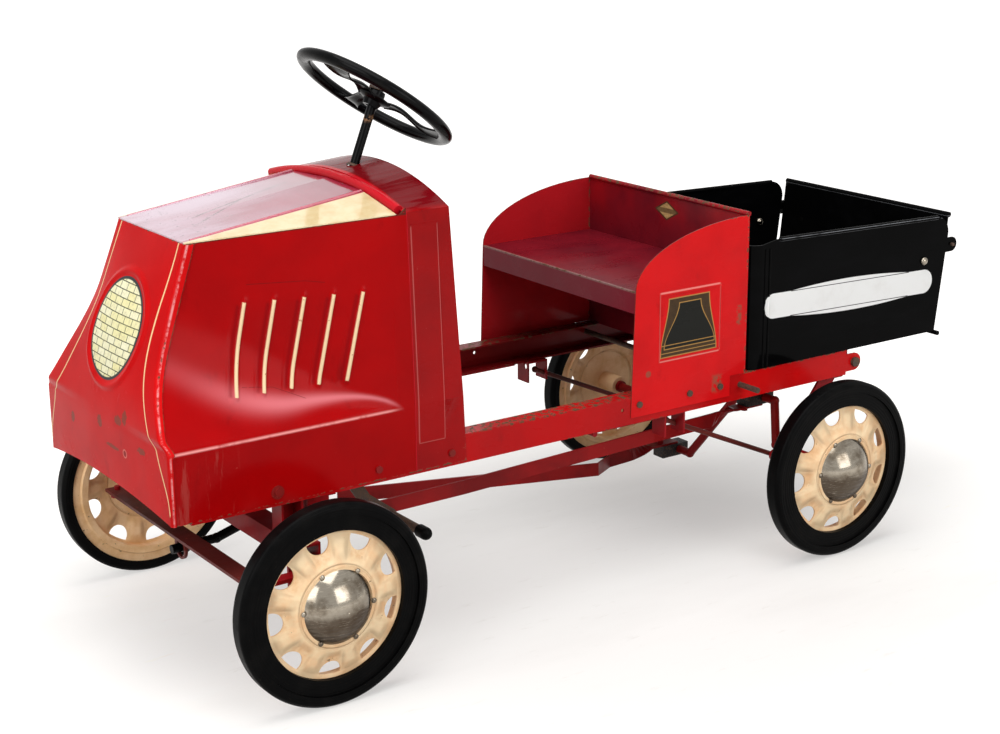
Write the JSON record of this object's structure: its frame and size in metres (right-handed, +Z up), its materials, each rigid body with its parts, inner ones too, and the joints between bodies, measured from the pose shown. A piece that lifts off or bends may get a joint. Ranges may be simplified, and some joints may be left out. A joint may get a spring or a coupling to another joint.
{
  "type": "pedal dump truck",
  "caption": "Ride-on pedal dump truck of pressed steel with cranked rear axle, swinging pedals, steered front wheels, tipping bed and hinged tailgate.",
  "frame": {"origin": "middle of the bounding box's bottom face, on the ground", "axes": "+X forward to the nose, +Y to the driver's left, +Z up"},
  "size_m": [1.2968, 0.598, 0.7405],
  "materials": {
    "red_enamel": "worn gloss",
    "maroon_enamel": "faded gloss",
    "cream_enamel": "worn gloss",
    "black_enamel": "gloss",
    "rusty_steel": "rusted",
    "worn_nickel": "tarnished",
    "rubber": "matte"
  },
  "bodies": {
    "chassis": {"left_rail": "red_enamel", "right_rail": "red_enamel", "cross_members": "red_enamel", "front_axle_beam": "red_enamel", "axle_stands": "red_enamel", "kingpins": "rusty_steel", "column_bracket": "red_enamel", "column_collar": "black_enamel", "pedal_brackets": "red_enamel", "pedal_rod": "rusty_steel", "left_axle_hanger": "red_enamel", "right_axle_hanger": "red_enamel", "brace_rods": "maroon_enamel", "brace_brackets": "red_enamel", "cross_rod": "rusty_steel", "hinge_bolts": "worn_nickel", "seat_deck": "maroon_enamel", "seat_back": "maroon_enamel", "left_seat_side": "red_enamel", "right_seat_side": "red_enamel", "seat_screws": "rusty_steel", "nose_panel": "red_enamel", "left_hood_side": "red_enamel", "right_hood_side": "red_enamel", "hood_top": "maroon_enamel", "cowl": "red_enamel", "hood_bolts": "rusty_steel"},
    "left_steering_knuckle": {"left_knuckle": "rusty_steel"},
    "right_steering_knuckle": {"right_knuckle": "rusty_steel"},
    "left_front_wheel": {"left_front_disc": "cream_enamel", "left_front_tyre": "rubber", "left_front_cap": "worn_nickel"},
    "right_front_wheel": {"right_front_disc": "cream_enamel", "right_front_tyre": "rubber", "right_front_cap": "worn_nickel"},
    "steering_link": {"tie_rod": "red_enamel"},
    "steering": {"steering_column": "black_enamel", "steering_wheel": "black_enamel", "steering_wheel_nut": "rusty_steel"},
    "rear_axle": {"crank_axle": "maroon_enamel", "right_rear_disc": "cream_enamel", "right_rear_tyre": "rubber", "right_rear_cap": "worn_nickel"},
    "left_rear_wheel": {"left_rear_disc": "cream_enamel", "left_rear_tyre": "rubber", "left_rear_cap": "worn_nickel"},
    "left_drive_rod": {"left_push_rod": "red_enamel", "left_big_end": "black_enamel"},
    "right_drive_rod": {"right_push_rod": "red_enamel", "right_big_end": "black_enamel"},
    "left_pedal_arm": {"left_pedal": "rusty_steel", "left_pedal_cap": "rubber"},
    "right_pedal_arm": {"right_pedal": "rusty_steel", "right_pedal_cap": "rubber"},
    "dump_bed": {"bed_floor": "black_enamel", "bed_left_wall": "black_enamel", "bed_right_wall": "black_enamel", "bed_front_wall": "black_enamel", "tailgate_rod": "rusty_steel"},
    "tailgate": {"tailgate": "black_enamel"}
  },
  "joints": [
    {"name": "left_steer", "type": "hinge", "parent": "chassis", "child": "left_steering_knuckle", "pos_m": [0.48185, 0.195, 0.127], "axis": [0, 0, 1], "range_deg": [-28, 28]},
    {"name": "right_steer", "type": "hinge", "parent": "chassis", "child": "right_steering_knuckle", "pos_m": [0.48185, -0.195, 0.127], "axis": [0, 0, 1], "range_deg": [-28, 28]},
    {"name": "tie_rod_pivot", "type": "hinge", "parent": "left_steering_knuckle", "child": "steering_link", "pos_m": [0.55185, 0.195, 0.148], "axis": [0, 0, 1], "range_deg": [-28, 28]},
    {"name": "column_turn", "type": "hinge", "parent": "chassis", "child": "steering", "pos_m": [0.28485, 0, 0.5868], "axis": [-0.3681, 0, 0.9298], "range_deg": [-25, 25]},
    {"name": "left_front_spin", "type": "hinge", "parent": "left_steering_knuckle", "child": "left_front_wheel", "pos_m": [0.48185, 0.261, 0.127], "axis": [0, 1, 0], "continuous": true},
    {"name": "right_front_spin", "type": "hinge", "parent": "right_steering_knuckle", "child": "right_front_wheel", "pos_m": [0.48185, -0.261, 0.127], "axis": [0, 1, 0], "continuous": true},
    {"name": "crank_turn", "type": "hinge", "parent": "chassis", "child": "rear_axle", "pos_m": [-0.33815, 0, 0.127], "axis": [0, 1, 0], "continuous": true},
    {"name": "left_rear_spin", "type": "hinge", "parent": "rear_axle", "child": "left_rear_wheel", "pos_m": [-0.33815, 0.261, 0.127], "axis": [0, 1, 0], "continuous": true},
    {"name": "left_rod_pin", "type": "hinge", "parent": "rear_axle", "child": "left_drive_rod", "pos_m": [-0.33815, 0.095, 0.193], "axis": [0, 1, 0], "continuous": true},
    {"name": "right_rod_pin", "type": "hinge", "parent": "rear_axle", "child": "right_drive_rod", "pos_m": [-0.33815, -0.095, 0.061], "axis": [0, 1, 0], "continuous": true},
    {"name": "left_pedal_swing", "type": "hinge", "parent": "chassis", "child": "left_pedal_arm", "pos_m": [0.45885, 0.058, 0.38], "axis": [0, 1, 0], "range_deg": [-17, 17]},
    {"name": "right_pedal_swing", "type": "hinge", "parent": "chassis", "child": "right_pedal_arm", "pos_m": [0.45885, -0.058, 0.38], "axis": [0, 1, 0], "range_deg": [-17, 17]},
    {"name": "bed_tip", "type": "hinge", "parent": "chassis", "child": "dump_bed", "pos_m": [-0.44615, 0, 0.246], "axis": [0, -1, 0], "range_deg": [0, 48]},
    {"name": "tailgate_swing", "type": "hinge", "parent": "dump_bed", "child": "tailgate", "pos_m": [-0.63742, 0, 0.3968], "axis": [0, 1, 0], "range_deg": [0, 75]}
  ],
  "couplings": [
    {"joint": "right_steer", "follows": "left_steer", "ratio": 1},
    {"joint": "tie_rod_pivot", "follows": "left_steer", "ratio": -1},
    {"joint": "column_turn", "follows": "left_steer", "ratio": 0.886},
    {"joint": "left_rod_pin", "follows": "crank_turn", "ratio": -1},
    {"joint": "right_rod_pin", "follows": "crank_turn", "ratio": -1},
    {"joint": "right_pedal_swing", "follows": "left_pedal_swing", "ratio": -1}
  ]
}
